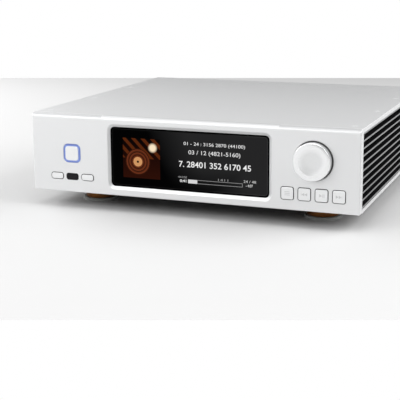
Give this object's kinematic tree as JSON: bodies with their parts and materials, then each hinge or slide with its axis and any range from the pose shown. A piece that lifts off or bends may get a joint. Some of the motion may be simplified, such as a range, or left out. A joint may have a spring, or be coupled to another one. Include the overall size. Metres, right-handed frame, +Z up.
{
  "type": "network music streamer",
  "caption": "Desktop network audio player: silver plate casing on round feet, wide display window, dished knob, square keys, finned side heat sinks, rear sockets and a sliding drive tray.",
  "frame": {"origin": "centre of the whole object's footprint box, on the surface that it stands on", "axes": "+X to the right seen from the front, +Y to the back, +Z up"},
  "size_m": [0.35, 0.3474, 0.0997],
  "materials": {
    "silver_panel": "fine satin, bead blasted and clear anodised",
    "base_dark": "satin, dark grey anodised",
    "silver_control": "fine satin, turned or milled, clear anodised",
    "black_anodised": "matt black anodised",
    "rear_aluminium": "fine satin",
    "frame_steel": "zinc plated sheet",
    "screw_steel": "plated",
    "brass_post": "nickel plated",
    "foot_bronze": "bronze anodised, turned",
    "foot_grey": "soft grey",
    "display_glass": "gloss, dark",
    "display_module": "dark",
    "light_ring": "lit blue, translucent",
    "infrared_dark": "gloss, infrared pass",
    "circuit_board": "solder mask",
    "component_black": "moulded",
    "transformer_tape": "taped winding",
    "capacitor_sleeve": "shrink sleeve",
    "jack_gold": "gold plated",
    "socket_shell": "plated",
    "drive_case": "matt",
    "ribbon": "flat cable"
  },
  "bodies": {
    "chassis": {"board_screws": "screw_steel", "board_standoffs": "brass_post", "bottom_plate": "base_dark", "bottom_plate_screws": "screw_steel", "cache_drive": "component_black", "display_bracket": "frame_steel", "display_module": "display_module", "display_window": "display_glass", "drive_bay": "frame_steel", "encoder_housing": "component_black", "encoder_nut": "screw_steel", "filter_capacitors": "capacitor_sleeve", "foot_bases": "foot_grey", "foot_front_left": "foot_bronze", "foot_front_right": "foot_bronze", "foot_rear_left": "foot_bronze", "foot_rear_right": "foot_bronze", "foot_screws": "screw_steel", "front_frame": "frame_steel", "front_frame_screws": "screw_steel", "front_panel": "silver_panel", "left_control_board": "circuit_board", "main_board": "circuit_board", "mains_inlet": "component_black", "memory_module": "component_black", "network_jack": "socket_shell", "optical_socket": "component_black", "output_board": "circuit_board", "power_light_ring": "light_ring", "power_supply_board": "circuit_board", "power_switch_housing": "component_black", "processor_cooler": "black_anodised", "rca_jacks": "jack_gold", "rear_panel": "rear_aluminium", "rear_panel_screws": "screw_steel", "remote_receiver": "infrared_dark", "remote_window": "infrared_dark", "ribbon_cables": "ribbon", "right_control_board": "circuit_board", "side_heatsink_left": "black_anodised", "side_heatsink_right": "black_anodised", "tact_switches": "component_black", "top_cover": "silver_panel", "top_cover_screws": "screw_steel", "toroidal_transformer": "transformer_tape", "transformer_mount": "screw_steel", "usb_sockets": "socket_shell"},
    "volume_knob": {"volume_knob": "silver_control", "knob_set_screw": "screw_steel", "encoder_shaft": "screw_steel"},
    "drive_tray": {"drive_tray": "rear_aluminium", "storage_drive": "drive_case"},
    "power_switch_rocker": {"power_switch_rocker": "component_black"},
    "power_button": {"power_button": "silver_control"},
    "display_button_left": {"display_button_left": "silver_control"},
    "display_button_right": {"display_button_right": "silver_control"},
    "menu_button": {"menu_button": "silver_control"},
    "previous_button": {"previous_button": "silver_control"},
    "play_button": {"play_button": "silver_control"},
    "next_button": {"next_button": "silver_control"}
  },
  "joints": [
    {"name": "volume_turn", "type": "hinge", "parent": "chassis", "child": "volume_knob", "pos_m": [0.129, -0.16575, 0.0674], "axis": [0, 1, 0], "continuous": true},
    {"name": "power_button_press", "type": "slide", "parent": "chassis", "child": "power_button", "axis": [0, 1, 0], "range_m": [0, 0.0008], "stiffness_N_per_m": 600},
    {"name": "display_button_left_press", "type": "slide", "parent": "chassis", "child": "display_button_left", "axis": [0, 1, 0], "range_m": [0, 0.0008], "stiffness_N_per_m": 600},
    {"name": "display_button_right_press", "type": "slide", "parent": "chassis", "child": "display_button_right", "axis": [0, 1, 0], "range_m": [0, 0.0008], "stiffness_N_per_m": 600},
    {"name": "menu_button_press", "type": "slide", "parent": "chassis", "child": "menu_button", "axis": [0, 1, 0], "range_m": [0, 0.0008], "stiffness_N_per_m": 600},
    {"name": "previous_button_press", "type": "slide", "parent": "chassis", "child": "previous_button", "axis": [0, 1, 0], "range_m": [0, 0.0008], "stiffness_N_per_m": 600},
    {"name": "play_button_press", "type": "slide", "parent": "chassis", "child": "play_button", "axis": [0, 1, 0], "range_m": [0, 0.0008], "stiffness_N_per_m": 600},
    {"name": "next_button_press", "type": "slide", "parent": "chassis", "child": "next_button", "axis": [0, 1, 0], "range_m": [0, 0.0008], "stiffness_N_per_m": 600},
    {"name": "power_switch_rock", "type": "hinge", "parent": "chassis", "child": "power_switch_rocker", "pos_m": [-0.125, 0.16125, 0.0719], "axis": [1, 0, 0], "range_deg": [-16, 0]},
    {"name": "drive_tray_slide", "type": "slide", "parent": "chassis", "child": "drive_tray", "axis": [0, 1, 0], "range_m": [0, 0.11]}
  ]
}
